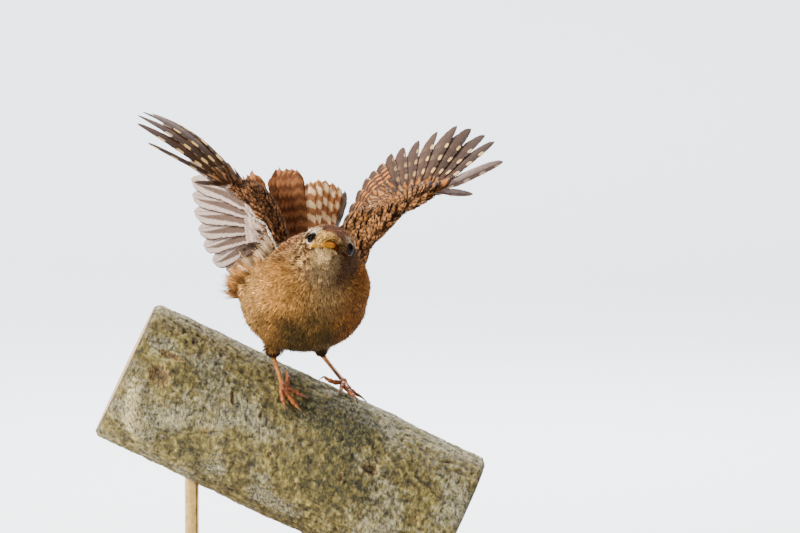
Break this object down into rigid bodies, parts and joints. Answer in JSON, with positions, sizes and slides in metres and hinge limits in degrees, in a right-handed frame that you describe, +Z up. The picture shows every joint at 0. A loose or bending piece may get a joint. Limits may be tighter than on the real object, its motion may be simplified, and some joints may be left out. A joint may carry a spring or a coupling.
{
  "type": "life-size display model of a wren",
  "caption": "Wren with raised, spread wings and cocked tail, gripping a cut length of branch that two rods hold over a flat base.",
  "frame": {"origin": "centre of the stand base's underside, where the model rests", "axes": "+Z up; the bird faces -Y with its own left side towards +X; the perch runs along X and falls towards +X"},
  "size_m": [0.136, 0.0909, 0.1751],
  "materials": {
    "body_plumage": "soft matt plumage, rufous brown above, warm buff and finely barred grey brown below",
    "flight_plumage": "smooth vaned feathers, grey brown barred with dark brown and spotted with cream",
    "bill_horn": "satin horn, yellow orange below and at the gape, dark along the ridge",
    "eye": "wet gloss, near black brown",
    "leg_skin": "scaled skin, orange brown, yellower along the tarsus",
    "claw_horn": "satin grey brown horn",
    "bark": "rough bark with grey lichen and green moss, pale sawn ends",
    "stand_wood": "dark satin-varnished wood",
    "stand_metal": "satin turned brass"
  },
  "bodies": {
    "root": {"stand_base": "stand_wood", "stand_rod_left": "stand_metal", "stand_rod_right": "stand_metal", "perch": "bark", "torso": "body_plumage", "neck": "body_plumage", "head": "body_plumage", "bill_upper": "bill_horn", "bill_lower": "bill_horn", "eye_left": "eye", "eye_right": "eye", "wing_left": "flight_plumage", "wing_right": "flight_plumage", "tail": "flight_plumage", "thigh_left": "body_plumage", "tarsus_left": "leg_skin", "foot_left": "leg_skin", "claw_left_hallux": "claw_horn", "claw_left_inner": "claw_horn", "claw_left_middle": "claw_horn", "claw_left_outer": "claw_horn", "thigh_right": "body_plumage", "tarsus_right": "leg_skin", "foot_right": "leg_skin", "claw_right_hallux": "claw_horn", "claw_right_inner": "claw_horn", "claw_right_middle": "claw_horn", "claw_right_outer": "claw_horn"}
  },
  "joints": []
}
